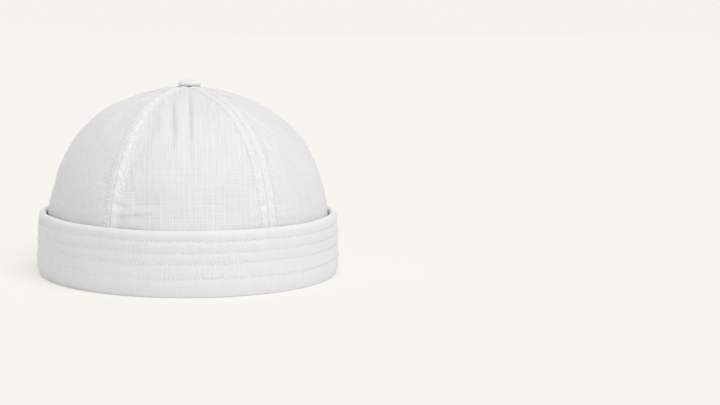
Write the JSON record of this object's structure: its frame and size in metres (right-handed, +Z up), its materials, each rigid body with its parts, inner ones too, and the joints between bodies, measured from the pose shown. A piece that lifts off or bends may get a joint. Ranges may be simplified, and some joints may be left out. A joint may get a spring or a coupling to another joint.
{
  "type": "watch cap",
  "caption": "White woven cotton watch cap with a sewn panel crown, a covered button on top and a stitched turned-up cuff, standing on its cuff.",
  "frame": {"origin": "on the floor at the middle of the cap's foot, straight below the button", "axes": "+Z up, +X to the viewer's right when the front is seen, the front of the cap towards -Y, the long way of the head oval along Y"},
  "size_m": [0.1874, 0.2117, 0.1189],
  "materials": {
    "ripstop_cloth": "matt white woven cotton with a raised ripstop grid",
    "cuff_cloth": "matt white plain-woven cotton, topstitched",
    "button_cloth": "matt white cotton stretched over a button",
    "post_metal": "pale dull steel"
  },
  "bodies": {
    "root": {"crown_front": "ripstop_cloth", "crown_side_right": "ripstop_cloth", "crown_back_right": "ripstop_cloth", "crown_back_left": "ripstop_cloth", "crown_side_left": "ripstop_cloth", "cuff": "cuff_cloth", "top_button": "button_cloth", "button_post": "post_metal"}
  },
  "joints": []
}
